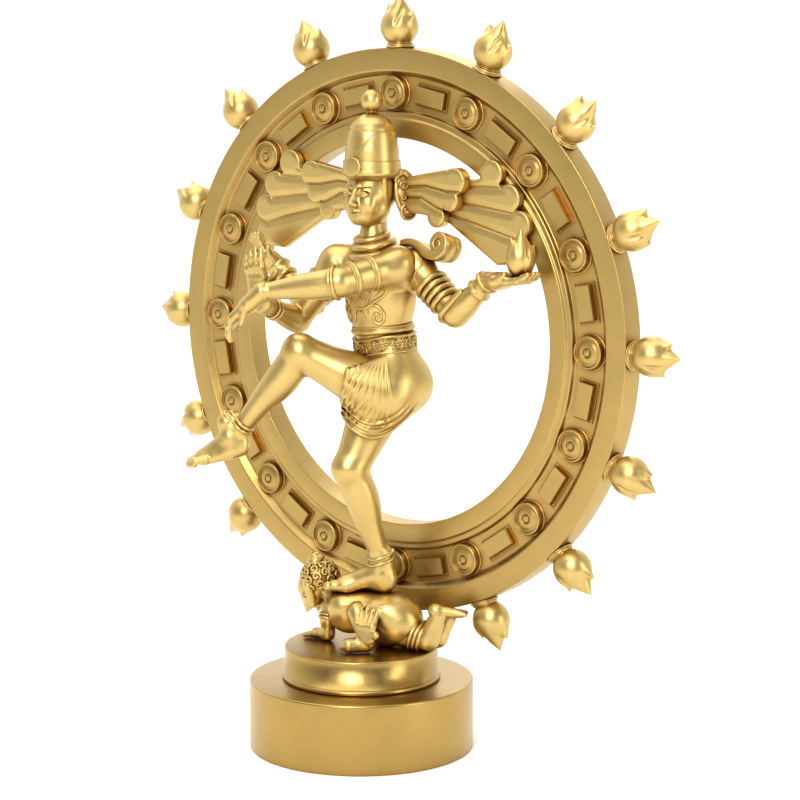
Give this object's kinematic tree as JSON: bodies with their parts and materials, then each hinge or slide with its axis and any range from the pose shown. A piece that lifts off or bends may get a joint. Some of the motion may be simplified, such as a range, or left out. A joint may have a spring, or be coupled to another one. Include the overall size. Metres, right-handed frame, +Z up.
{
  "type": "dancing figure statue in a flame ring",
  "caption": "Cast metal dancing figure with several arms, one leg raised, standing on a dwarf inside an upright ring of flames on a stepped round pedestal.",
  "frame": {"origin": "middle of the pedestal's resting face", "axes": "+Z up, -Y the way the figure faces, +X the figure's own left"},
  "size_m": [0.2388, 0.08, 0.2669],
  "materials": {
    "satin_brass": "satin cast brass with a warm lacquer, darker in recesses",
    "felt": "short felt",
    "steel": "plain machine screw"
  },
  "bodies": {
    "root": {"anklets": "satin_brass", "arm_bands": "satin_brass", "base_drum": "satin_brass", "base_pad": "felt", "base_screws": "steel", "base_upper_drum": "satin_brass", "belt_ornate": "satin_brass", "belt_upper": "satin_brass", "bracelets": "satin_brass", "chest_ornament": "satin_brass", "crown": "satin_brass", "crown_disc": "satin_brass", "crown_finial": "satin_brass", "dwarf_arms": "satin_brass", "dwarf_body": "satin_brass", "dwarf_head": "satin_brass", "dwarf_legs": "satin_brass", "earrings": "satin_brass", "flame_01": "satin_brass", "flame_02": "satin_brass", "flame_03": "satin_brass", "flame_04": "satin_brass", "flame_05": "satin_brass", "flame_06": "satin_brass", "flame_07": "satin_brass", "flame_08": "satin_brass", "flame_09": "satin_brass", "flame_10": "satin_brass", "flame_11": "satin_brass", "flame_12": "satin_brass", "flame_13": "satin_brass", "flame_14": "satin_brass", "flame_15": "satin_brass", "foot_pin": "steel", "front_left_arm": "satin_brass", "front_left_hand": "satin_brass", "front_right_arm": "satin_brass", "front_right_hand": "satin_brass", "garment": "satin_brass", "hair_fan_left_inner": "satin_brass", "hair_fan_left_outer": "satin_brass", "hair_fan_right_inner": "satin_brass", "hair_fan_right_outer": "satin_brass", "hand_flame": "satin_brass", "head": "satin_brass", "left_foot": "satin_brass", "left_leg": "satin_brass", "necklace": "satin_brass", "rear_left_arm": "satin_brass", "rear_left_hand": "satin_brass", "rear_right_arm": "satin_brass", "rear_right_hand": "satin_brass", "right_foot": "satin_brass", "right_leg": "satin_brass", "ring": "satin_brass", "ring_medallions": "satin_brass", "ring_panels": "satin_brass", "ring_post": "satin_brass", "shoulder_scroll": "satin_brass", "torso": "satin_brass"}
  },
  "joints": []
}
